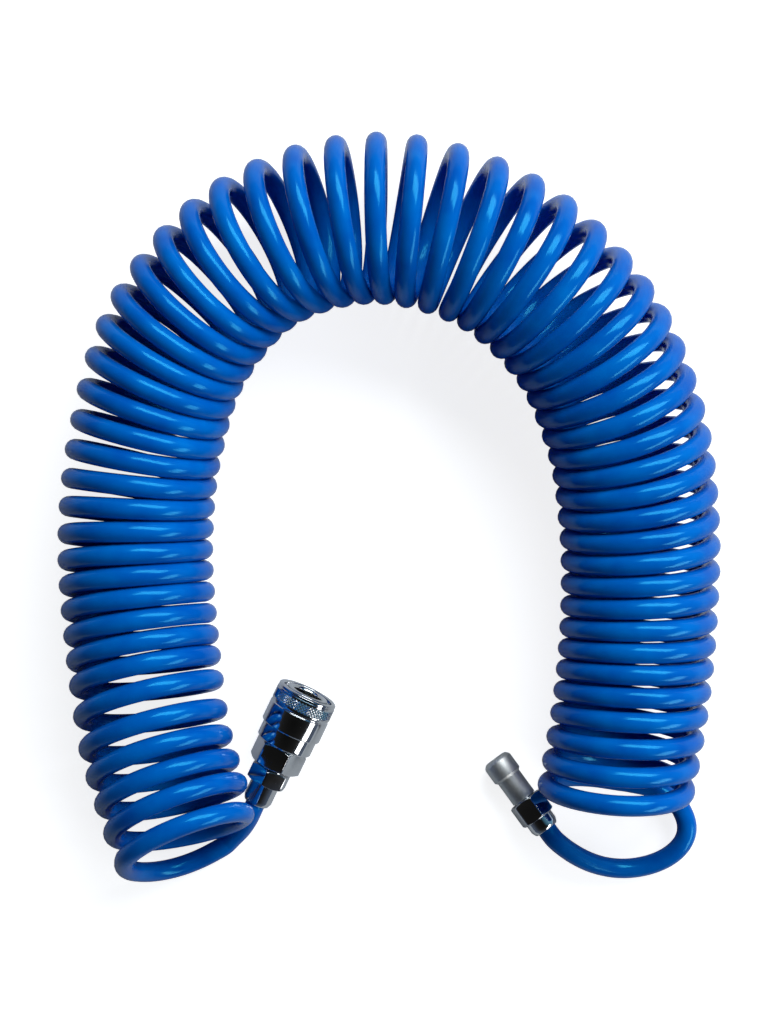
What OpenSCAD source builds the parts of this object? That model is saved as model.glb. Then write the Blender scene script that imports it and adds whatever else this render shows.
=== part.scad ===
/* [Hose] */
// Outer diameter of the polyurethane tube
hose_d = 8; // [6:0.5:8]
// Number of curls wound in the coil
curls = 56; // [40:1:56]
// Rings that one curl is built from
curl_rings = 8; // [8:1:12]
// Depth of the flat where the curls stand
foot_cut = 0.8; // [0:0.1:1]

/* [Socket] */
// Diameter of the knurled release sleeve
sleeve_d = 26.6; // [26:0.2:28]
// How far the release sleeve is drawn back
sleeve_travel = 4; // [3:0.5:4]
// Diameter of a locking ball
ball_d = 3.6; // [3.2:0.1:3.6]
// Number of locking balls
balls = 6; // [6:1:6]
// Width across the flats of the rear adaptor
adaptor_af = 20; // [19:0.5:21]
// Width across the flats of the socket's hose nut
socket_nut_af = 16; // [15:0.5:17]

/* [Plug] */
// Diameter of the collar that the balls hold
collar_d = 13; // [12.8:0.1:13]
// Diameter of the shank behind the collar
shank_d = 11; // [10:0.5:11]
// Width across the flats of the plug's hose nut
plug_nut_af = 14; // [13:0.5:15]

/* [Hidden] */
$fn = 72;

hose_blue = [0.05, 0.36, 0.78];
nickel = [0.78, 0.79, 0.80];
steel = [0.62, 0.64, 0.66];
brass = [0.80, 0.68, 0.38];
nitrile = [0.10, 0.10, 0.11];

// ---- where the coil lies ----
// One row for every fourth curl, from the socket's end round to the plug's end: the middle of
// the curl in X and Y, the way its outer side points and its lean along the coil in degrees,
// and the radius of its centreline.
coil_keys = [
    [-84.5, -136, 201, 23, 27.5],
    [-97, -88.5, 193, 18, 27.5],
    [-102, -44.5, 186, 12, 27.5],
    [-103.5, -5.5, 178, 6, 27.5],
    [-98.5, 35, 164, -2, 27.5],
    [-84.5, 76, 143, -10, 28.5],
    [-52.5, 110, 118, -16, 29],
    [-5.5, 123, 89, -6, 30],
    [42.5, 110.5, 61, 3, 30],
    [77.5, 79, 36, 8, 29.5],
    [95.5, 40, 17, 8, 29],
    [102, 0.5, 5, 4, 28.5],
    [102.5, -39, -1, -3, 28],
    [99.5, -76.5, -5, -5, 28],
    [93, -117.5, -6, 3, 28],
];
last_key = len(coil_keys) - 1;
curls_per_key = curls / last_key;
// The curl beside the socket opens out where it leaves the coil: what its row gains, times the
// square of the turns left over
first_bend = [-27, 18, 128, 0, 0];
// That curl's far side rides up over the free end: how high, where, and over how much of a turn
ride_height = 6;
ride_turn = 0.62;
ride_width = 0.22;
// The curls up from the socket stand in two packs: how far the upper pack is pushed along, round
// which turn, and over how many turns that dies away
push = 2.2;
push_turn = 5.9;
push_width = 1.5;
// Each end leaves the coil at the foot of a curl
first_turn = -0.25;
last_turn = curls - 0.25;
// The curls are six-sided with a flat to each neighbour and an edge to the floor
curl_r = hose_d / 2 * 1.08;
foot_z = curl_r - foot_cut;
straight_run = hose_d;

// ---- where the two fittings lie ----
// The socket lies on its sleeve; the plug rests on its nose and its hose holds the tail up
mouth_pos = [-34, -74, 13.4];
mouth_turn = [0, 90.5, 64.6];
plug_pos = [45.6, -104.2, 6];
plug_turn = [0, 102, 127];

// ---- free ends of the hose, between a fitting's nut and the coil ----
socket_lead_route = [
    [-58.6, -126.2, 12.6], [-60.6, -130.6, 9.8], [-63.6, -135.4, 6.8], [-67.8, -139.8, 4.8],
];
plug_lead_route = [
    [71.1, -137.8, 14.6], [76.5, -142.5, 13.2], [83.7, -147.4, 10.8], [92, -151.2, 7.8],
    [101.3, -153.1, 5.2], [110.4, -152.2, 4.6], [118.8, -149, 5.2], [125.4, -143.4, 6.4],
    [128.6, -136.2, 7.2], [127.2, -128.6, 6.8], [121.7, -122.2, 5.4], [113.5, -117.6, 4.2],
];
lead_r = hose_d / 2 + 0.05;
lead_sides = 10;

// ---- socket, measured from its mouth towards the hose ----
bore_r = collar_d / 2 + 0.1;
tube_r = bore_r + 2.45;
guide_r = sleeve_d / 2 - 1.15;
ball_at = 6.6;
ball_r = ball_d / 2;
// A ball locks against the shank and clears the bore when it is out
ball_locked_r = shank_d / 2 + ball_r + 0.05;
ball_travel = 1.1;
land_r = tube_r + 0.2;
land_from = 6.8;
land_to = 9.4;
ramp = 0.28;
guide_from = 16.8;
sleeve_end = 17.8;
knurl_from = 1.7;
knurl_to = 7.6;
body_end = 25;
seat_at = 17.9;
valve_travel = 4;
spring_seat = 31;
thread_r = 8;
hex_end = 34.8;
adaptor_roll = 19;
nut_from = 35.6;
nut_to = 43;
socket_nut_roll = -10;
socket_end = 52.6;
hose_grip_r = hose_d / 2 + 0.15;
barb_root_r = 2.55;
barb_r = 3;

// ---- plug, measured from its tip towards the hose ----
collar_to = 8.8;
plug_nut_from = 21.3;
plug_nut_to = 31.3;
plug_nut_roll = 20.5;
plug_end = 37;
plug_bore_r = 3;

// ---- helpers ----
function unit(v) = v / norm(v);
function across(v, t) = unit(v - (v * t) * t);
function spline(p0, p1, p2, p3, w) =
    0.5 * (2 * p1 + (p2 - p0) * w + (2 * p0 - 5 * p1 + 4 * p2 - p3) * w * w
    + (3 * p1 - p0 - 3 * p2 + p3) * w * w * w);
function spline_at(rows, t) =
    let (
        last = len(rows) - 1,
        i = max(0, min(floor(t), last - 1)),
        before = i > 0 ? rows[i - 1] : 2 * rows[0] - rows[1],
        after = i + 2 <= last ? rows[i + 2] : 2 * rows[last] - rows[last - 1]
    )
    spline(before, rows[i], rows[i + 1], after, t - i);

// Place something modelled along a fitting's own axis, with +Z out of its open end
module at_socket() {
    translate(mouth_pos) rotate(mouth_turn) children();
}
module at_plug() {
    translate(plug_pos) rotate(plug_turn) children();
}
function out_of(turn) = [
    sin(turn[1]) * cos(turn[2]),
    sin(turn[1]) * sin(turn[2]),
    cos(turn[1]),
];
function along_socket(depth) = mouth_pos - depth * out_of(mouth_turn);
function along_plug(depth) = plug_pos - depth * out_of(plug_turn);

// A turned piece from [radius, depth behind the open end] corners
module turned(profile) {
    rotate_extrude() polygon([for (p = profile) [p[0], -p[1]]]);
}
module ring(inner_r, outer_r, from, to) {
    turned([[inner_r, from], [outer_r, from], [outer_r, to], [inner_r, to]]);
}
// Hexagon with both ends turned down at 30 degrees; with no roll a corner points at the floor
module chamfered_hex(width, from, to, roll) {
    corner_r = width / 2 / cos(30);
    fall = (corner_r - width / 2 + 0.2) * tan(30);
    intersection() {
        translate([0, 0, -to]) rotate([0, 0, roll])
            cylinder(h = to - from, r = corner_r, $fn = 6);
        turned([
            [0, from], [width / 2 - 0.2, from], [corner_r + 0.1, from + fall + 0.06],
            [corner_r + 0.1, to - fall - 0.06], [width / 2 - 0.2, to], [0, to],
        ]);
    }
}
// Nipple that the hose is pushed over
module barbs(from, to, bore) {
    pitch = (to - from) / 3;
    turned(concat(
        [[bore, from], [barb_root_r, from]],
        [for (n = [0:2]) each [
            [barb_root_r, from + n * pitch + 0.8],
            [barb_r, from + n * pitch + 0.8],
            [barb_root_r, from + (n + 1) * pitch - 0.1],
        ]],
        [[bore + 0.2, to], [bore, to]]
    ));
}

// A closed tube from rings of points, each ring in the same order
module tube_from(rings) {
    n = len(rings);
    sides = len(rings[0]);
    polyhedron(
        points = [for (r = rings) each r],
        faces = concat(
            [for (i = [0:n - 2], j = [0:sides - 1]) let (k = (j + 1) % sides)
                [i * sides + j, (i + 1) * sides + k, i * sides + k]],
            [for (i = [0:n - 2], j = [0:sides - 1]) let (k = (j + 1) % sides)
                [i * sides + j, (i + 1) * sides + j, (i + 1) * sides + k]],
            [for (j = [1:sides - 2]) [0, j, j + 1]],
            [for (j = [1:sides - 2]) [(n - 1) * sides, (n - 1) * sides + j + 1, (n - 1) * sides + j]]
        )
    );
}
function ring_at(centre, up, side, radius, sides) =
    [for (j = [0:sides - 1]) let (a = 360 * j / sides)
        centre + radius * (cos(a) * up + sin(a) * side)];

// ---- hose ----
function curl_at(u) = spline_at(coil_keys, u / curls_per_key) + pow(min(u, 0), 2) * first_bend;
function outward(key) = [cos(key[2]), sin(key[2]), 0];
function onward(key) = [sin(key[2]), -cos(key[2]), 0];
function coil_point(u) =
    let (
        key = curl_at(u),
        leaning = cos(key[3]) * [0, 0, 1] + sin(key[3]) * onward(key),
        ride = ride_height * exp(-pow((u - ride_turn) / ride_width, 2)),
        pushed = push * exp(-pow((u - push_turn) / push_width, 2)),
        middle = [key[0], key[1] + pushed, foot_z + key[4] * cos(key[3]) + ride]
    )
    middle + key[4] * (cos(360 * u) * outward(key) + sin(360 * u) * leaning);
function coil_way(u) = unit(coil_point(u + 0.001) - coil_point(u - 0.001));
function coil_ring(u, shift = 0) =
    let (way = coil_way(u), side = across(onward(curl_at(u)), way))
    ring_at(coil_point(u) + shift * way, cross(side, way), side, curl_r, 6);

coil_start = coil_point(first_turn) - straight_run * coil_way(first_turn);
coil_finish = coil_point(last_turn) + straight_run * coil_way(last_turn);
coil_turns = [for (i = [0:curls * curl_rings]) first_turn + i / curl_rings];

module hose_coil() {
    color(hose_blue) intersection() {
        tube_from(concat(
            [coil_ring(first_turn, -straight_run)],
            [for (u = coil_turns) coil_ring(u)],
            [coil_ring(last_turn, straight_run)]
        ));
        translate([-200, -200, 0]) cube([400, 400, 100]);
    }
}

// Least clear space between a curl and the next, from ring centres to the next curl's runs
function off_run(p, a, b) =
    let (w = max(0, min(1, (p - a) * (b - a) / ((b - a) * (b - a)))))
    norm(p - a - w * (b - a));
coil_centres = [for (u = coil_turns) coil_point(u)];
curl_spacing = min([
    for (i = [0:len(coil_centres) - 1], j = [i + 5:i + 11])
        if (j + 1 < len(coil_centres)) off_run(coil_centres[i], coil_centres[j], coil_centres[j + 1])
]);
least_gap = curl_spacing - 2 * curl_r * cos(30);

function smooth(points, steps) = concat(
    [for (i = [0:len(points) - 2], k = [0:steps - 1]) spline_at(points, i + k / steps)],
    [points[len(points) - 1]]
);
function lead_ring(points, i) =
    let (
        a = points[max(0, i - 1)],
        b = points[min(len(points) - 1, i + 1)],
        way = unit(b - a),
        up = across([0, 0, 1], way)
    )
    ring_at(points[i], up, cross(way, up), lead_r, lead_sides);
module lead(head, route, tail) {
    points = concat(head, smooth(concat([head[len(head) - 1]], route, [tail[0]]), 2), tail);
    kept = [for (i = [0:len(points) - 1]) if (i == 0 || norm(points[i] - points[i - 1]) > 0.01) points[i]];
    rings = [for (i = [0:len(kept) - 1]) lead_ring(kept, i)];
    color(hose_blue) tube_from([
        for (r = rings) [for (p = r) [p[0], p[1], max(p[2], 0)]]
    ]);
}
module socket_lead() {
    lead(
        [along_socket(nut_to - 0.8), along_socket(socket_end), along_socket(socket_end + 1.5)],
        socket_lead_route,
        [coil_start - 3 * coil_way(first_turn), coil_start]
    );
}
module plug_lead() {
    lead(
        [along_plug(plug_nut_to - 2.5), along_plug(plug_end), along_plug(plug_end + 3)],
        plug_lead_route,
        [coil_finish + 3 * coil_way(last_turn), coil_finish]
    );
}

// ---- socket ----
module socket_body() {
    color(nickel) at_socket() difference() {
        turned([
            [bore_r + 0.6, 0], [tube_r - 0.4, 0], [tube_r, 0.4],
            [tube_r, 1.7], [tube_r - 0.65, 1.7], [tube_r - 0.65, 2.9], [tube_r, 2.9],
            [tube_r, guide_from], [guide_r - 0.3, guide_from], [guide_r, guide_from + 0.3],
            [guide_r, body_end - 0.8], [guide_r - 1, body_end],
            [thread_r, body_end], [thread_r, 20.4], [7, 20.4], [7, seat_at],
            [5, seat_at], [5, 16.8], [bore_r, 16.8],
            [bore_r, 12.5], [8, 12.5], [8, 9.9], [bore_r, 9.9],
            [bore_r, 8.6], [bore_r + 0.2, 8.6], [bore_r + 0.2, 4.6], [bore_r, 4.6], [bore_r, 0.8],
        ]);
        for (n = [0:balls - 1])
            rotate([0, 90, 360 * n / balls]) translate([ball_at, 0, 4])
                cylinder(h = 8, r = ball_r + 0.05);
    }
}

module locking_ball(n) {
    color(steel) at_socket() rotate([0, 0, 360 * (n - 1) / balls])
        translate([ball_locked_r, 0, -ball_at]) sphere(r = ball_r, $fn = 32);
}

module release_sleeve() {
    outer_r = sleeve_d / 2;
    ramp_from = 1.6;
    ramp_top = land_r + (land_from - ramp_from) * ramp;
    color(nickel) at_socket() turned([
        [11.3, 0], [outer_r - 0.9, 0], [outer_r - 0.3, 0.5], [outer_r - 0.3, knurl_from - 0.5],
        [outer_r - 0.6, knurl_from - 0.35], [outer_r, knurl_from], [outer_r, knurl_to],
        [outer_r - 0.5, knurl_to + 0.4], [outer_r - 0.5, knurl_to + 0.8],
        [outer_r - 0.1, knurl_to + 1.1], [outer_r - 0.1, sleeve_end - 0.5],
        [outer_r - 0.5, sleeve_end], [guide_r + 0.07, sleeve_end],
        [guide_r + 0.07, land_to], [land_r, land_to], [land_r, land_from],
        [ramp_top, ramp_from], [10.9, ramp_from], [10.9, 0.4],
    ]);
}

module stop_ring() {
    color(steel) at_socket() difference() {
        ring(tube_r - 0.63, 10.28, 1.72, 2.88);
        translate([0, -1, -4]) cube([15, 2, 4]);
    }
}

// A wound wire: radius, wire, turns, and its run from one depth to another
module wound_spring(mean_r, wire_r, turns, from, to) {
    steps = turns * 8;
    centre = [for (i = [0:steps]) let (a = 360 * i / 8)
        [mean_r * cos(a), mean_r * sin(a), -from - wire_r - (to - from - 2 * wire_r) * i / steps]];
    tube_from([for (i = [0:steps]) let (a = 360 * i / 8)
        ring_at(centre[i], [cos(a), sin(a), 0], [0, 0, -1], wire_r, 6)]);
}

module sleeve_spring() {
    color(steel) at_socket()
        wound_spring(mean_r = 10.6, wire_r = 0.45, turns = 3, from = land_to + 0.05, to = guide_from - 0.05);
}

module packing_seal() {
    color(nitrile) at_socket() turned([
        [bore_r - 0.1, 10.4], [bore_r + 0.4, 9.95], [7.98, 9.95], [7.98, 12.45],
        [bore_r + 0.4, 12.45], [bore_r - 0.1, 12],
    ]);
}

module valve_poppet() {
    color(brass) at_socket() difference() {
        turned([
            [3.4, 12.9], [4.4, 12.9], [4.7, 13.2], [4.7, 18], [4.95, 18], [4.95, 19.25],
            [6.15, 19.25], [6.15, 20.75], [3.9, 20.75], [3.9, 22.25], [0, 22.25],
            [0, 17.4], [3.4, 17.4],
        ]);
        for (n = [0:1])
            rotate([0, 90, 90 * n]) translate([15.6, 0, -6]) cylinder(h = 12, r = 1.6);
    }
}

module poppet_seal() {
    color(nitrile) at_socket() rotate_extrude() translate([5.56, -18.65]) circle(r = 0.58, $fn = 24);
}

module valve_spring() {
    color(steel) at_socket()
        wound_spring(mean_r = 4.65, wire_r = 0.4, turns = 5, from = 20.8, to = spring_seat - 0.05);
}

module rear_adaptor() {
    color(nickel) at_socket() {
        difference() {
            union() {
                chamfered_hex(adaptor_af, body_end + 0.02, hex_end, adaptor_roll);
                turned([[0, 21], [thread_r - 0.05, 21], [thread_r - 0.05, body_end + 1], [0, body_end + 1]]);
                turned([
                    [0, hex_end - 1], [6.2, hex_end - 1], [6.2, nut_from - 0.02], [5.4, nut_from - 0.02],
                    [5.4, nut_to - 1.6], [5, nut_to - 1.1], [0, nut_to - 1.1],
                ]);
                barbs(nut_to - 1.2, socket_end - 1.2, 1.9);
            }
            turned([
                [0, 20], [6.8, 20], [6.8, 25.5], [5.4, 26.3], [5.4, spring_seat],
                [1.9, spring_seat], [1.9, 60], [0, 60],
            ]);
        }
    }
}

module adaptor_gasket() {
    color(nitrile) at_socket() ring(7.05, 7.9, 20.42, 20.98);
}

// Hexagon nut with a round tail that grips the hose on its nipple
module hose_nut(width, from, to, end, thread, tail_r, roll) {
    difference() {
        union() {
            chamfered_hex(width, from, to, roll);
            turned([
                [0, to - 1], [tail_r, to - 1], [tail_r, end - 2.2], [tail_r - 0.7, end - 0.5],
                [tail_r - 1.1, end], [0, end],
            ]);
        }
        turned([
            [0, from - 1], [thread, from - 1], [thread, to - 1.6], [hose_grip_r, to + 0.8],
            [hose_grip_r, end - 0.6], [hose_grip_r + 0.5, end + 0.1], [0, end + 0.1],
        ]);
    }
}

module socket_hose_nut() {
    color(nickel) at_socket() hose_nut(
        socket_nut_af, nut_from, nut_to, socket_end,
        thread = 5.45, tail_r = 6.2, roll = socket_nut_roll
    );
}

// ---- plug ----
module plug_body() {
    collar_r = collar_d / 2;
    shank_r = shank_d / 2;
    color(nickel) at_plug() difference() {
        union() {
            turned([
                [0, 0], [plug_bore_r + 1, 0], [plug_bore_r + 2, 0.25], [collar_r - 0.7, 0.95],
                [collar_r - 0.2, 1.6], [collar_r, 2.3], [collar_r, collar_to],
                [shank_r, collar_to + 1], [shank_r, plug_nut_from - 0.4],
                [4.9, plug_nut_from - 0.4], [4.9, 28], [4.5, 28.5], [0, 28.5],
            ]);
            barbs(28.4, 35.8, 1.9);
        }
        turned([[0, -1], [plug_bore_r, -1], [plug_bore_r, 19], [1.9, 20], [1.9, 40], [0, 40]]);
    }
}

module plug_hose_nut() {
    color(nickel) at_plug() hose_nut(
        plug_nut_af, plug_nut_from, plug_nut_to, plug_end,
        thread = 4.95, tail_r = 6.2, roll = plug_nut_roll
    );
}

echo(least_gap_between_curls_mm = least_gap, curl_spacing_mm = curl_spacing);

hose_coil();
socket_lead();
plug_lead();
socket_body();
release_sleeve();
sleeve_spring();
stop_ring();
packing_seal();
locking_ball(1);  // locking_ball_1
locking_ball(2);  // locking_ball_2
locking_ball(3);  // locking_ball_3
locking_ball(4);  // locking_ball_4
locking_ball(5);  // locking_ball_5
locking_ball(6);  // locking_ball_6
valve_poppet();
poppet_seal();
valve_spring();
rear_adaptor();
adaptor_gasket();
socket_hose_nut();
plug_body();
plug_hose_nut();
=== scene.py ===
import math

import bmesh
import bpy
from mathutils import Euler, Matrix, Vector


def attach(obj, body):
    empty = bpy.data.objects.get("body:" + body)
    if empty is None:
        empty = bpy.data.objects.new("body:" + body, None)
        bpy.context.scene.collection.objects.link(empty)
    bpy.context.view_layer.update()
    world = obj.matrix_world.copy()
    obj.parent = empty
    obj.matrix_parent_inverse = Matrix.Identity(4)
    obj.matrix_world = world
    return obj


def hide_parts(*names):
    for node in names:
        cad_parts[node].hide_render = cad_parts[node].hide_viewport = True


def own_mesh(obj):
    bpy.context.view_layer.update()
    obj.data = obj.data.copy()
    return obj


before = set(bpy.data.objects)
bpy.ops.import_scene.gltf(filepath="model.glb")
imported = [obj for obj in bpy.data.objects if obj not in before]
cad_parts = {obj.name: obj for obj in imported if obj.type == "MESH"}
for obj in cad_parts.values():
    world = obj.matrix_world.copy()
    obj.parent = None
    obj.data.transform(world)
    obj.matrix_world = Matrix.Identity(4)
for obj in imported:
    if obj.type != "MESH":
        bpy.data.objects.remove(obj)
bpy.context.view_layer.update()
mm = 0.001
print("frame loaded,", len(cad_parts), "solids")

# camera, nearly straight above the arch: metres, degrees from straight down, mm of lens
view = {"place": (-0.002, 0.0799, 0.7568), "tilt": -5.92, "lens": 62.76, "sensor": 36, "nearest": 0.01}
cameraData = bpy.data.cameras.new("camera")
cameraData.sensor_width = view["sensor"]
cameraData.lens = view["lens"]
cameraData.clip_start = view["nearest"]
camera = bpy.data.objects.new("camera", cameraData)
camera.location = view["place"]
camera.rotation_euler = (math.radians(view["tilt"]), 0, 0)
bpy.context.scene.collection.objects.link(camera)
bpy.context.scene.camera = camera
bpy.context.scene.view_settings.view_transform = "Standard"

# where each fitting lies: its open end, and the turn of its axis from +Z, in mm and degrees
socketPlace = {"end": (-34, -74, 13.4), "turn": (0, 90.5, 64.6)}
plugPlace = {"end": (45.6, -104.2, 6), "turn": (0, 102, 127)}


def placing(place):
    turn = Euler([math.radians(a) for a in place["turn"]]).to_matrix().to_4x4()
    return Matrix.Translation(Vector(place["end"]) * mm) @ turn


def depthPoint(place, depth):
    # a point on a fitting's axis, in mm
    return placing(place) @ Vector((0, 0, -depth * mm)) / mm


# hose, one tube from nut to nut; sizes in mm, except its length
hose = {
    "diameter": 8,
    "drawn": 8.4,  # across the corners of its eighteen sides
    "sides": 18,
    "length": 10.2,  # metres
    "curls": 56,
    "firstCurl": -0.25,  # where the coil starts, counted in curls
    "pointsPerCurl": 60,
    "footHeight": 4.0,  # the tube's middle where a curl stands
    "curlsPerRow": 4,
    # at each row: the curl's middle in X and Y, the way its outer side points and its lean in
    # degrees, and its radius
    "rows": [
        (-84.5, -136.4, 201, 24.5, 27.5),
        (-97, -88.9, 193, 19.5, 27.5),
        (-102, -44.8, 186, 13, 27.5),
        (-103.5, -5.5, 178, 6, 27.5),
        (-98.5, 35, 164, -2, 27.5),
        (-84.5, 76, 143, -10, 28.5),
        (-52.5, 110, 118, -16, 29),
        (-5.5, 123, 89, -6, 30),
        (42.5, 110.5, 61, 3, 30),
        (77.5, 79, 36, 8, 29.5),
        (95.5, 40, 17, 8, 29),
        (102, 0.5, 5, 4, 28.5),
        (102.5, -39, -1, -3, 28),
        (99.5, -76.5, -5, -5, 28),
        (93, -117.5, -6, 3, 28),
    ],
    # how a row's values change before curl 0, times the square of the way to it
    "firstBend": (-27, 18, 128, 0, 0),
    # curls that stand closer together or leave a wide gap: how far they're shifted, at which curl,
    # and over how many
    "pushes": [(2.2, 5.9, 1.5), (1.3, 1.3, 0.9), (-1, 4.2, 0.9)],
    # the first curl rides up over the free end: how far, at which curl, and over how many
    "ride": {"height": 6, "turn": 0.62, "width": 0.22},
    # each free end: depths on its fitting's axis, then listed points
    "socketDepths": (42.4, 47.5, 52.6, 54.1),
    "socketRoute": [(-58.6, -126.2, 12.6), (-60.6, -130.6, 9.8), (-63.6, -135.4, 6.8), (-67.8, -139.8, 4.8)],
    "plugDepths": (40, 37, 33, 29),
    "plugRoute": [
        (71.1, -137.8, 14.6), (76.5, -142.5, 13.2), (83.7, -147.4, 10.8), (92, -151.2, 7.8),
        (101.3, -153.1, 5.2), (110.4, -152.2, 4.6), (118.8, -149, 5.2), (125.4, -143.4, 6.4),
        (128.6, -136.2, 7.2), (127.2, -128.6, 6.8), (121.7, -122.2, 5.4), (113.5, -117.6, 4.2),
    ],
    "exitDepth": 52.6,  # the end of the socket nut's tail
    "pointsPerSpan": 6,
    "leadIn": (5.5, 11),  # a free end runs straight on from the coil through these two distances
    "easing": {"sweeps": 12, "reach": 80, "share": 0.5},
}


def splineAt(rows, t):
    # a point of the smooth curve through the rows, t counted in rows
    last = len(rows) - 1
    i = max(0, min(math.floor(t), last - 1))
    w = t - i
    out = []
    for k in range(len(rows[0])):
        p1, p2 = rows[i][k], rows[i + 1][k]
        p0 = rows[i - 1][k] if i > 0 else 2 * p1 - p2
        p3 = rows[i + 2][k] if i + 2 <= last else 2 * p2 - p1
        out.append(0.5 * (2 * p1 + (p2 - p0) * w + (2 * p0 - 5 * p1 + 4 * p2 - p3) * w * w
                          + (3 * p1 - p0 - 3 * p2 + p3) * w ** 3))
    return out


def coilPoint(turn):
    early = min(turn, 0) ** 2
    row = splineAt(hose["rows"], turn / hose["curlsPerRow"])
    x, y, facing, lean, radius = (a + early * b for a, b in zip(row, hose["firstBend"]))
    facing, lean, angle = math.radians(facing), math.radians(lean), math.tau * turn
    outward = Vector((math.cos(facing), math.sin(facing), 0))
    onward = Vector((math.sin(facing), -math.cos(facing), 0))
    leaning = math.cos(lean) * Vector((0, 0, 1)) + math.sin(lean) * onward
    ride = hose["ride"]
    lift = ride["height"] * math.exp(-((turn - ride["turn"]) / ride["width"]) ** 2)
    y += sum(by * math.exp(-((turn - at) / width) ** 2) for by, at, width in hose["pushes"])
    middle = Vector((x, y, hose["footHeight"] + radius * math.cos(lean) + lift))
    return middle + radius * (math.cos(angle) * outward + math.sin(angle) * leaning)


def hoseLine():
    firstTurn, lastTurn = hose["firstCurl"], hose["curls"] + hose["firstCurl"]
    start, finish = coilPoint(firstTurn), coilPoint(lastTurn)
    nudge = 0.001  # of a curl, to see which way the tube runs
    wayIn = (coilPoint(firstTurn + nudge) - start).normalized()
    wayOut = (finish - coilPoint(lastTurn - nudge)).normalized()
    near, far = hose["leadIn"]
    first = [depthPoint(socketPlace, d) for d in hose["socketDepths"]]
    first += [Vector(p) for p in hose["socketRoute"]]
    first += [start - far * wayIn, start - near * wayIn, start]
    second = [finish, finish + near * wayOut, finish + far * wayOut]
    second += [Vector(p) for p in reversed(hose["plugRoute"])]
    second += [depthPoint(plugPlace, d) for d in hose["plugDepths"]]
    span, steps = hose["pointsPerSpan"], hose["pointsPerCurl"]
    line = [Vector(splineAt(first, i / span)) for i in range(span * (len(first) - 1))]
    line += [coilPoint(firstTurn + i / steps) for i in range(hose["curls"] * steps + 1)]
    line += [Vector(splineAt(second, i / span)) for i in range(1, span * (len(second) - 1) + 1)]
    easing = hose["easing"]
    for sweep in range(easing["sweeps"]):  # eases the free ends and their joins with the coil
        eased = [line[0]]
        for i, (before, p, after) in enumerate(zip(line, line[1:], line[2:])):
            nearEnd = min(i, len(line) - 2 - i) < easing["reach"]
            eased.append(p + easing["share"] * ((before + after) / 2 - p) if nearEnd else p)
        line = eased + [line[-1]]
    lowest = hose["drawn"] / 2
    return [Vector((p.x, p.y, max(p.z, lowest))) * mm for p in line]


def roundTube(name, path, width, sides):
    # a round tube or wire along a path in metres; its width is in mm
    curve = bpy.data.curves.new(name, "CURVE")
    curve.dimensions = "3D"
    curve.bevel_depth = width / 2 * mm
    curve.bevel_resolution = (sides - 4) // 2
    curve.use_fill_caps = True
    run = curve.splines.new("POLY")
    run.points.add(len(path) - 1)
    for point, place in zip(run.points, path):
        point.co = (*place, 1)
    shape = bpy.data.objects.new(name + "_line", curve)
    bpy.context.scene.collection.objects.link(shape)
    bpy.context.view_layer.update()
    mesh = bpy.data.meshes.new_from_object(shape.evaluated_get(bpy.context.evaluated_depsgraph_get()))
    bpy.data.objects.remove(shape)
    mesh.name = name
    mesh.polygons.foreach_set("use_smooth", [True] * len(mesh.polygons))
    tube = bpy.data.objects.new(name, mesh)
    bpy.context.scene.collection.objects.link(tube)
    return tube


hosePath = hoseLine()
airHose = roundTube("air_hose", hosePath, hose["drawn"], hose["sides"])
measured = sum((b - a).length for a, b in zip(hosePath, hosePath[1:]))
print("hose made, %.3f m of tube in %d curls" % (measured, hose["curls"]))

# what all turned fittings share, in mm and degrees
turning = {
    "steps": 96,
    "mergeWithin": 1e-5,
    "chamfer": 0.2,  # how far inside its flats a hexagon's end face stops
    "chamferSlope": 30,
    "sharpFrom": 25,  # edges that turn by more than this are eased
    "smoothBelow": 32,
}


def hexReach(angle, width, roll):
    # distance from the axis to the side of a hexagon turned by the roll, at an angle in degrees
    off = (angle - roll) % 60 - 30
    return width / 2 / math.cos(math.radians(off))


def hexRows(width, start, end):
    # a hexagon's part of the outline: end face, its two rows of corners, end face
    face = width / 2 - turning["chamfer"]
    return [(face, start), ("hex", width, start, 1), ("hex", width, end, -1), (face, end)]


def turnedMesh(outline, steps=turning["steps"], roll=0):
    # spins a closed outline of (radius, depth) in mm round Z; hex rows follow a hexagon
    shape = bmesh.new()
    marks = shape.verts.layers.int.new("row")
    ring = []
    for i, corner in enumerate(outline):
        radius, depth = (corner[1] / 2, corner[2]) if corner[0] == "hex" else corner
        ring.append(shape.verts.new((radius, 0, -depth)))
        ring[-1][marks] = i
    edges = [shape.edges.new((a, b)) for a, b in zip(ring, ring[1:] + ring[:1])]
    bmesh.ops.spin(shape, geom=ring + edges, cent=(0, 0, 0), axis=(0, 0, 1), angle=math.tau,
                   steps=steps, use_merge=True)
    bmesh.ops.remove_doubles(shape, verts=shape.verts, dist=turning["mergeWithin"])
    slope = math.tan(math.radians(turning["chamferSlope"]))
    for vertex in shape.verts:
        corner = outline[vertex[marks]]
        if corner[0] == "hex":
            width, depth, side = corner[1:]
            reach = hexReach(math.degrees(math.atan2(vertex.co.y, vertex.co.x)), width, roll)
            fall = (reach - width / 2 + turning["chamfer"]) * slope
            spread = Vector((vertex.co.x, vertex.co.y, 0)).normalized() * reach
            vertex.co = (spread.x, spread.y, -depth - side * fall)
    bmesh.ops.recalc_face_normals(shape, faces=shape.faces)
    return shape


def easeEdges(shape, width, skip=None):
    # takes the sharpness off the edges, but for those that skip names
    sharp = [e for e in shape.edges
             if e.is_manifold and math.degrees(e.calc_face_angle()) > turning["sharpFrom"]
             and not (skip and skip(e))]
    bmesh.ops.bevel(shape, geom=sharp, offset=width, offset_type="OFFSET", segments=2, profile=0.5,
                    affect="EDGES", material=-1, clamp_overlap=True)
    return shape


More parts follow.
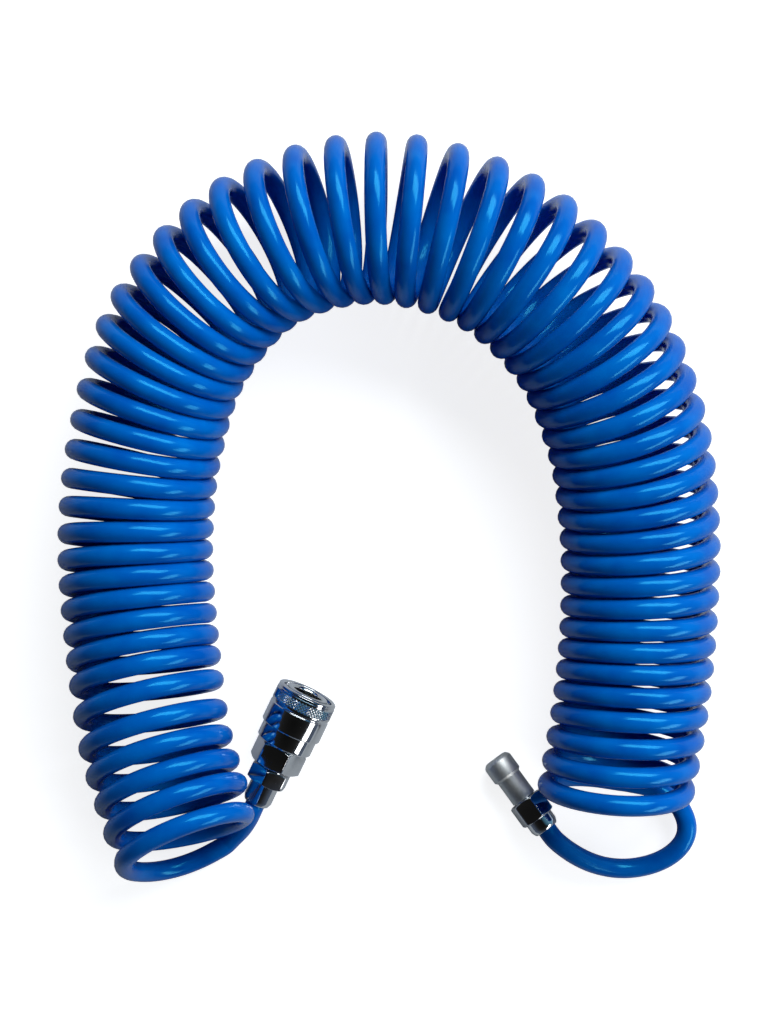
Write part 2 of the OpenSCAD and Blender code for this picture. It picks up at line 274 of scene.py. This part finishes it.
def finishPiece(shape, name, place, body, nodes, materials):
    shape.transform(placing(place) @ Matrix.Scale(mm, 4))
    mesh = bpy.data.meshes.new(name)
    shape.to_mesh(mesh)
    shape.free()
    mesh.polygons.foreach_set("use_smooth", [True] * len(mesh.polygons))
    mesh.set_sharp_from_angle(angle=math.radians(turning["smoothBelow"]))
    for material in materials:
        mesh.materials.append(material)
    piece = bpy.data.objects.new(name, mesh)
    bpy.context.scene.collection.objects.link(piece)
    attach(piece, body)
    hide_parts(*nodes)
    return piece


# materials; patterns are in mm
def fromHex(code):
    # sRGB hex to a linear colour
    parts = [int(code[i:i + 2], 16) / 255 for i in (1, 3, 5)]
    return [c / 12.92 if c <= 0.04045 else ((c + 0.055) / 1.055) ** 2.4 for c in parts] + [1]


def addNode(tree, kind, values=None, links=None, **settings):
    node = tree.nodes.new(kind)
    for key, value in settings.items():
        setattr(node, key, value)
    for key, value in (values or {}).items():
        node.inputs[key].default_value = value
    for key, source in (links or {}).items():
        tree.links.new(source, node.inputs[key])
    return node


def startMaterial(name, **values):
    material = bpy.data.materials.new(name)
    material.use_nodes = True
    surface = material.node_tree.nodes["Principled BSDF"]
    for key, value in values.items():
        surface.inputs[key.replace("_", " ")].default_value = value
    return material, material.node_tree, surface


def varyFinish(tree, surface, finish, tintBy, glossBy):
    # lets the colour and the roughness each drift between the finish's two values, by a pattern
    deep, pale = [fromHex(code) for code in finish["colours"]]
    tint = addNode(tree, "ShaderNodeMix", {"A": deep, "B": pale}, {"Factor": tintBy}, data_type="RGBA")
    tree.links.new(tint.outputs["Result"], surface.inputs["Base Color"])
    least, most = finish["roughness"]
    gloss = addNode(tree, "ShaderNodeMapRange", {"To Min": least, "To Max": most}, {"Value": glossBy})
    tree.links.new(gloss.outputs["Result"], surface.inputs["Roughness"])


tubeFinish = {
    "colours": ("#0042a8", "#0078d2"),
    "sheen": "#44e4ff",
    "ior": 1.5,
    "roughness": (0.13, 0.2),
    "cloud": 14,
    "line": 0.35,  # from one drawn line to the next, round the tube
    "lineLength": 60,
    "lineRelief": 0.12,
    "lineHeight": 0.02,
}


def hoseMaterial(finish):
    # extruded polyurethane tube: deep clear blue, glossy, with faint lines drawn along it
    material, tree, surface = startMaterial("extruded_polyurethane", IOR=finish["ior"],
                                            Specular_Tint=fromHex(finish["sheen"]))
    around = addNode(tree, "ShaderNodeTexCoord").outputs["UV"]
    place = addNode(tree, "ShaderNodeTexCoord").outputs["Object"]
    cloud = addNode(tree, "ShaderNodeTexNoise", {"Scale": 1 / (finish["cloud"] * mm), "Detail": 3},
                    {"Vector": place})
    linesRound = hose["diameter"] * math.pi / finish["line"]
    linesAlong = hose["length"] / (finish["lineLength"] * mm)
    stretch = addNode(tree, "ShaderNodeMapping", {"Scale": (linesRound, linesAlong, 1)}, {"Vector": around})
    drawn = addNode(tree, "ShaderNodeTexNoise", {"Scale": 1, "Detail": 2},
                    {"Vector": stretch.outputs["Vector"]})
    varyFinish(tree, surface, finish, cloud.outputs["Fac"], drawn.outputs["Fac"])
    relief = addNode(tree, "ShaderNodeBump",
                     {"Strength": finish["lineRelief"], "Distance": finish["lineHeight"] * mm},
                     {"Height": drawn.outputs["Fac"]})
    tree.links.new(relief.outputs["Normal"], surface.inputs["Normal"])
    return material


# nickel plate on polished brass: a mirror, with hardly a turning mark
brightNickel = {"colours": ("#c6c8ca", "#dedfe0"), "roughness": (0.05, 0.13), "ring": 0.25,
                "smudge": 3, "ringRelief": 0.08, "ringHeight": 0.02}
# nickel plate on steel left as turned: grey, with a broad soft shine and rings that show
satinNickel = {"colours": ("#c6c8c6", "#dcdedc"), "roughness": (0.46, 0.58), "ring": 0.3,
               "smudge": 1.2, "ringRelief": 0.35, "ringHeight": 0.02}
# hardened steel, ground or drawn: darker than the plate, with a tight shine
hardSteel = {"colours": ("#9b9fa3", "#b9bcbf"), "roughness": (0.12, 0.25), "ring": 0.3,
             "smudge": 2, "ringRelief": 0.1, "ringHeight": 0.02}
# bare brass as turned: warm yellow, with fine rings
turnedBrass = {"colours": ("#b8924a", "#d8b25e"), "roughness": (0.15, 0.3), "ring": 0.3,
               "smudge": 2, "ringRelief": 0.2, "ringHeight": 0.02}


def turnedMetal(name, place, finish):
    # lathe-turned metal: fine rings round the axis, and smudges that dull it in places
    material, tree, surface = startMaterial(name, Metallic=1.0)
    spot = addNode(tree, "ShaderNodeTexCoord").outputs["Object"]
    local = addNode(tree, "ShaderNodeMapping", {
        "Location": Vector(place["end"]) * mm, "Rotation": [math.radians(a) for a in place["turn"]]},
        {"Vector": spot}, vector_type="TEXTURE")
    parts = addNode(tree, "ShaderNodeSeparateXYZ", None, {"Vector": local.outputs["Vector"]})
    flat = addNode(tree, "ShaderNodeCombineXYZ", None, {"X": parts.outputs["X"], "Y": parts.outputs["Y"]})
    reach = addNode(tree, "ShaderNodeVectorMath", None, {0: flat.outputs["Vector"]}, operation="LENGTH")
    across = addNode(tree, "ShaderNodeCombineXYZ", None,
                     {"X": reach.outputs["Value"], "Z": parts.outputs["Z"]})
    rings = addNode(tree, "ShaderNodeTexNoise", {"Scale": 1 / (finish["ring"] * mm), "Detail": 2},
                    {"Vector": across.outputs["Vector"]})
    smudge = addNode(tree, "ShaderNodeTexNoise", {"Scale": 1 / (finish["smudge"] * mm), "Detail": 4},
                     {"Vector": spot})
    varyFinish(tree, surface, finish, smudge.outputs["Fac"], smudge.outputs["Fac"])
    relief = addNode(tree, "ShaderNodeBump",
                     {"Strength": finish["ringRelief"], "Distance": finish["ringHeight"] * mm},
                     {"Height": rings.outputs["Fac"]})
    tree.links.new(relief.outputs["Normal"], surface.inputs["Normal"])
    return material


sealFinish = {"colours": ("#141415", "#2a2a2b"), "ior": 1.52, "roughness": (0.45, 0.7), "grain": 0.4}


def sealMaterial(finish):
    # moulded nitrile: dull black with a trace of dust
    material, tree, surface = startMaterial("moulded_nitrile", IOR=finish["ior"])
    spot = addNode(tree, "ShaderNodeTexCoord").outputs["Object"]
    grain = addNode(tree, "ShaderNodeTexNoise", {"Scale": 1 / (finish["grain"] * mm), "Detail": 3},
                    {"Vector": spot})
    varyFinish(tree, surface, finish, grain.outputs["Fac"], grain.outputs["Fac"])
    return material


tubeBlue = hoseMaterial(tubeFinish)
socketNickel = turnedMetal("bright_nickel_socket", socketPlace, brightNickel)
plugNickel = turnedMetal("bright_nickel_plug", plugPlace, brightNickel)
plugSatin = turnedMetal("satin_nickel_plug", plugPlace, satinNickel)
socketSteel = turnedMetal("hardened_steel", socketPlace, hardSteel)
socketBrass = turnedMetal("turned_brass", socketPlace, turnedBrass)
nitrile = sealMaterial(sealFinish)
print("materials made")

# knurled release sleeve of the socket; an outline is (radius, depth) in mm
sleeve = {
    "outer": 13.3,
    "knurlFrom": 1.7,
    "knurlTo": 7.6,
    "knurlSink": 0.06,  # the diamonds' tips stay this far inside the sleeve's widest
    "knurlEndSink": 0.24,  # and the knurl's two end rows as much again
    "knurlDepth": 0.36,
    "diamondsRound": 54,
    "diamondsAlong": 4,
    "rim": [(11.3, 0), (12.4, 0), (13.0, 0.5), (13.0, 1.2), (12.7, 1.35)],
    "barrel": [(12.8, 8.0), (12.8, 8.4), (13.2, 8.7), (13.2, 17.3), (12.8, 17.8)],
    "inside": [
        (12.22, 17.8), (12.22, 9.4), (9.25, 9.4), (9.25, 6.8), (10.706, 1.6), (10.9, 1.6), (10.9, 0.4),
    ],
    "ease": 0.12,
}


def sleeveShape():
    rows = 2 * sleeve["diamondsAlong"]
    columns = 2 * sleeve["diamondsRound"]
    step = (sleeve["knurlTo"] - sleeve["knurlFrom"]) / rows
    knurled = []
    for j in range(rows + 1):
        sink = sleeve["knurlEndSink"] if j in (0, rows) else 0
        knurled.append((sleeve["outer"] - sleeve["knurlSink"] - sink, sleeve["knurlFrom"] + j * step))
    first, last = len(sleeve["rim"]), len(sleeve["rim"]) + rows
    shape = turnedMesh(sleeve["rim"] + knurled + sleeve["barrel"] + sleeve["inside"], columns)
    marks = shape.verts.layers.int["row"]
    low = []
    for vertex in shape.verts:  # every second corner goes in, and edges between those make the diamonds
        row = vertex[marks] - first
        column = round(math.atan2(vertex.co.y, vertex.co.x) / math.tau * columns)
        if 0 < row < rows and (row + column) % 2 == 0:
            reach = Vector((vertex.co.x, vertex.co.y, 0))
            vertex.co -= reach.normalized() * sleeve["knurlDepth"]
            low.append(vertex)
    bmesh.ops.connect_verts(shape, verts=low)
    easeEdges(shape, sleeve["ease"], lambda e: any(first - 1 <= v[marks] <= last for v in e.verts))
    return shape


finishPiece(sleeveShape(), "knurled_sleeve", socketPlace, "release_sleeve",
            ["release_sleeve"], [socketNickel])
print("release sleeve made")

# body of the socket, from its mouth to its thread; the sleeve hides its ball holes, so it has none here
socketTube = {
    "outline": [
        (7.2, 0), (8.65, 0), (9.05, 0.4), (9.05, 1.7), (8.4, 1.7), (8.4, 2.9), (9.05, 2.9), (9.05, 16.8),
        (11.85, 16.8), (12.15, 17.1), (12.15, 24.2), (11.35, 25), (8, 25), (8, 20.4), (7, 20.4), (7, 17.9),
        (5, 17.9), (5, 16.8), (6.6, 16.8), (6.6, 12.5), (8, 12.5), (8, 9.9), (6.6, 9.9), (6.6, 8.6),
        (6.8, 8.6), (6.8, 4.6), (6.6, 4.6), (6.6, 0.8),
    ],
    "ease": 0.1,
}
socketShape = easeEdges(turnedMesh(socketTube["outline"]), socketTube["ease"])
finishPiece(socketShape, "socket_body_turned", socketPlace, "hose",
            ["socket_body"], [socketNickel])
print("socket body made")

barb = {"low": 2.55, "high": 3}  # radii of the hose nipples' barbs


def barbRows(runs):
    # each barb steps up where it starts and slopes down to its end
    rows = []
    for start, end in runs:
        rows += [(barb["low"], start), (barb["high"], start), (barb["low"], end)]
    return rows


# rear adaptor of the socket: spigot, hexagon, thread and hose nipple
adaptor = {
    "spigot": [(6.8, 21), (7.95, 21), (7.95, 25.02)],
    "hexagon": (20, 25.02, 34.8),  # width across the flats, start and end
    "roll": 19,
    "thread": [(6.2, 34.8), (6.2, 35.58), (5.4, 35.58), (5.4, 41.4), (5, 41.9), (2.55, 41.9)],
    "barbs": [(42.6, 44.9), (45.8, 48.1), (49, 51.3)],
    "bore": [(1.9, 51.4), (1.9, 31), (5.4, 31), (5.4, 26.3), (6.8, 25.5)],
    "ease": 0.15,
}
adaptorOutline = adaptor["spigot"] + hexRows(*adaptor["hexagon"]) + adaptor["thread"]
adaptorOutline += barbRows(adaptor["barbs"]) + adaptor["bore"]
adaptorShape = easeEdges(turnedMesh(adaptorOutline, roll=adaptor["roll"]), adaptor["ease"])
finishPiece(adaptorShape, "hexagon_adaptor", socketPlace, "hose",
            ["rear_adaptor"], [socketNickel])

# hose nuts: the hexagon, the end of its round tail, and the radii of its thread's bore and its tail
socketNutSize = {"hexagon": (16, 35.6, 43), "roll": -10, "tail": 52.6, "thread": 5.45, "tailRadius": 6.2}
plugNutSize = {"hexagon": (14, 21.3, 31.3), "roll": 20.5, "tail": 37, "thread": 4.95, "tailRadius": 6.2}
nutEnds = {"gap": 0.15, "taper": 2.2, "shoulder": (0.7, 0.5), "lip": 1.1, "flare": (0.5, 0.6),
           "seat": 0.8, "cone": 1.6, "ease": 0.15}


def nutShape(size):
    width, start, end = size["hexagon"]
    tail, thread, radius = size["tail"], size["thread"], size["tailRadius"]
    grip = hose["diameter"] / 2 + nutEnds["gap"]
    shoulderIn, shoulderAlong = nutEnds["shoulder"]
    flareOut, flareAlong = nutEnds["flare"]
    outline = [(thread, start)] + hexRows(width, start, end) + [
        (radius, end), (radius, tail - nutEnds["taper"]), (radius - shoulderIn, tail - shoulderAlong),
        (radius - nutEnds["lip"], tail), (grip + flareOut, tail), (grip, tail - flareAlong),
        (grip, end + nutEnds["seat"]), (thread, end - nutEnds["cone"])]
    return easeEdges(turnedMesh(outline, roll=size["roll"]), nutEnds["ease"])


finishPiece(nutShape(socketNutSize), "socket_nut", socketPlace, "hose",
            ["socket_hose_nut"], [socketNickel])
print("adaptor and socket nut made")

# plug: nose, shank, shoulder, thread and hose nipple in one turned piece
plug = {
    "nose": [(3, 0), (4, 0), (5, 0.25), (5.8, 0.95), (6.3, 1.6), (6.5, 2.3), (6.5, 8.8)],
    "shank": [(5.5, 9.8), (5.5, 20.9)],
    "thread": [(4.9, 20.9), (4.9, 28), (4.5, 28.5), (2.55, 28.5)],
    "barbs": [(29.2, 30.8), (31.7, 33.2), (34.1, 35.7)],
    "bore": [(1.9, 35.8), (1.9, 20), (3, 19)],
    "satinTo": 21,  # depth down to which its surface is satin
    "ease": 0.12,
}
plugOutline = plug["nose"] + plug["shank"] + plug["thread"] + barbRows(plug["barbs"]) + plug["bore"]
plugShape = easeEdges(turnedMesh(plugOutline), plug["ease"])
for face in plugShape.faces:
    face.material_index = 1 if face.calc_center_median().z > -plug["satinTo"] else 0
plugBody = finishPiece(plugShape, "plug_turned", plugPlace, "hose", ["plug_body"],
                       [plugNickel, plugSatin])
plugNut = finishPiece(nutShape(plugNutSize), "plug_nut", plugPlace, "hose",
                      ["plug_hose_nut"], [plugNickel])
print("plug made")

# the socket's two springs, each wound at one fixed length and carried with its body
springs = {
    "sleeve_spring": {"body": "sleeve_carrier", "joint": "sleeve_slide", "held": 9.45,
                      "middle": 10.6, "wire": 0.9, "turns": 3, "start": 9.45, "end": 16.75},
    "valve_spring": {"body": "hose", "joint": "valve_slide", "held": 30.95,
                     "middle": 4.65, "wire": 0.8, "turns": 5, "start": 20.8, "end": 30.95},
}
winding = {"travel": 4, "pointsPerTurn": 32, "sides": 12}  # both joints slide this far, in mm


def springLine(spring):
    perTurn = winding["pointsPerTurn"]
    steps = spring["turns"] * perTurn
    rise = (spring["end"] - spring["start"] - spring["wire"]) / steps
    line = []
    for i in range(steps + 1):
        angle = math.tau * i / perTurn
        depth = spring["start"] + spring["wire"] / 2 + i * rise
        spot = Vector((spring["middle"] * math.cos(angle), spring["middle"] * math.sin(angle), -depth))
        line.append(placing(socketPlace) @ (spot * mm))
    return line


for name, spring in springs.items():
    wire = roundTube(name + "_wire", springLine(spring), spring["wire"], winding["sides"])
    wire.data.materials.append(socketSteel)
    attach(wire, spring["body"])
    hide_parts(name)
    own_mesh(wire)
print("springs made")

# solids that show as they are
carried = {"valve_poppet": socketBrass, "poppet_seal": nitrile, "packing_seal": nitrile,
           "adaptor_gasket": nitrile, "stop_ring": socketSteel}
carried.update({"locking_ball_%d" % n: socketSteel for n in range(1, 7)})
for name, material in carried.items():
    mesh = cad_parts[name].data
    mesh.materials.clear()
    mesh.materials.append(material)
print("inner solids coloured")

# the hose rides on the hose body
airHose.data.materials.append(tubeBlue)
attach(airHose, "hose")
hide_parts("hose_coil", "socket_lead", "plug_lead")
print("hose placed")

# floor and room
studio = {
    "size": 3.0,  # metres from the middle to a side
    "seen": "#c2c5c8",  # the floor to the eye and in the metal
    "bounce": "#3854bc",  # the floor as it lights the hose from below, which keeps its shade blue
    "glow": 0.84,  # lifts the floor to white and leaves the shadow
    "floorRoughness": 0.9,
    # brightness from the floor's edge to straight above: the two ends, then what lies between
    "room": [(0, (0.1, 0.13, 0.19)), (1, (0.006, 0.006, 0.006)), (0.72, (0.015, 0.015, 0.015))],
    # a broad blue light from one side: its colour, the way to it, and where it starts and how far it grows
    "wash": {"colour": (0.2, 0.66, 1), "way": (0.65, 0.75, 0.15), "from": 0.3, "strength": 0.6},
}
floorMesh = bmesh.new()
bmesh.ops.create_grid(floorMesh, x_segments=1, y_segments=1, size=studio["size"])
floorData = bpy.data.meshes.new("floor")
floorMesh.to_mesh(floorData)
floorMesh.free()
floor = bpy.data.objects.new("floor", floorData)
bpy.context.scene.collection.objects.link(floor)
floorFinish, floorTree, floorSurface = startMaterial("matt_floor", Roughness=studio["floorRoughness"])
rays = addNode(floorTree, "ShaderNodeLightPath")
shade = addNode(floorTree, "ShaderNodeMix", {"A": fromHex(studio["seen"]), "B": fromHex(studio["bounce"])},
                {"Factor": rays.outputs["Is Diffuse Ray"]}, data_type="RGBA")
floorTree.links.new(shade.outputs["Result"], floorSurface.inputs["Base Color"])
seen = addNode(floorTree, "ShaderNodeMath", None,
               {0: rays.outputs["Is Camera Ray"], 1: rays.outputs["Is Transmission Ray"]},
               operation="MAXIMUM")
lift = addNode(floorTree, "ShaderNodeMath", {1: studio["glow"]}, {0: seen.outputs["Value"]},
               operation="MULTIPLY")
floorSurface.inputs["Emission Color"].default_value = (1, 1, 1, 1)
floorTree.links.new(lift.outputs["Value"], floorSurface.inputs["Emission Strength"])
floorData.materials.append(floorFinish)

# the room is dark above, as the black bands on the metal need, and white to the eye
world = bpy.data.worlds.new("studio")
bpy.context.scene.world = world
world.use_nodes = True
sky = world.node_tree
background = sky.nodes["Background"]
way = addNode(sky, "ShaderNodeTexCoord").outputs["Generated"]
height = addNode(sky, "ShaderNodeSeparateXYZ", None, {"Vector": way}).outputs["Z"]
room = addNode(sky, "ShaderNodeValToRGB", None, {"Fac": height})
stops = room.color_ramp.elements
for i, (at, level) in enumerate(studio["room"]):
    stop = stops[i] if i < 2 else stops.new(at)
    stop.position = at
    stop.color = (*level, 1)
wash = studio["wash"]
toward = addNode(sky, "ShaderNodeVectorMath", {1: wash["way"]}, {0: way}, operation="DOT_PRODUCT")
growth = addNode(sky, "ShaderNodeMapRange", {"From Min": wash["from"], "To Max": wash["strength"]},
                 {"Value": toward.outputs["Value"]})
blueSide = addNode(sky, "ShaderNodeVectorMath", {0: wash["colour"]}, {"Scale": growth.outputs["Result"]},
                   operation="SCALE")
lit = addNode(sky, "ShaderNodeVectorMath", None,
              {0: room.outputs["Color"], 1: blueSide.outputs["Vector"]}, operation="ADD")
sight = addNode(sky, "ShaderNodeLightPath").outputs["Is Camera Ray"]
backing = addNode(sky, "ShaderNodeMix", {"B": (1, 1, 1, 1)}, {"Factor": sight, "A": lit.outputs["Vector"]},
                  data_type="RGBA")
sky.links.new(backing.outputs["Result"], background.inputs["Color"])
print("floor and room made")

# lamps, in metres and watts, both turned to the middle of the part
lamps = {
    "high_lamp": {"place": (0.55, 1.08, 1.05), "size": (1.5, 0.75), "energy": 26.5},
    "side_lamp": {"place": (1.25, -0.8, 0.75), "size": (1.1, 0.5), "energy": 9},
}
for name, lamp in lamps.items():
    data = bpy.data.lights.new(name, "AREA")
    data.shape = "RECTANGLE"
    data.size, data.size_y = lamp["size"]
    data.energy = lamp["energy"]
    light = bpy.data.objects.new(name, data)
    light.location = lamp["place"]
    light.rotation_euler = (-Vector(lamp["place"])).to_track_quat("-Z", "Y").to_euler()
    bpy.context.scene.collection.objects.link(light)
print("lamps made")
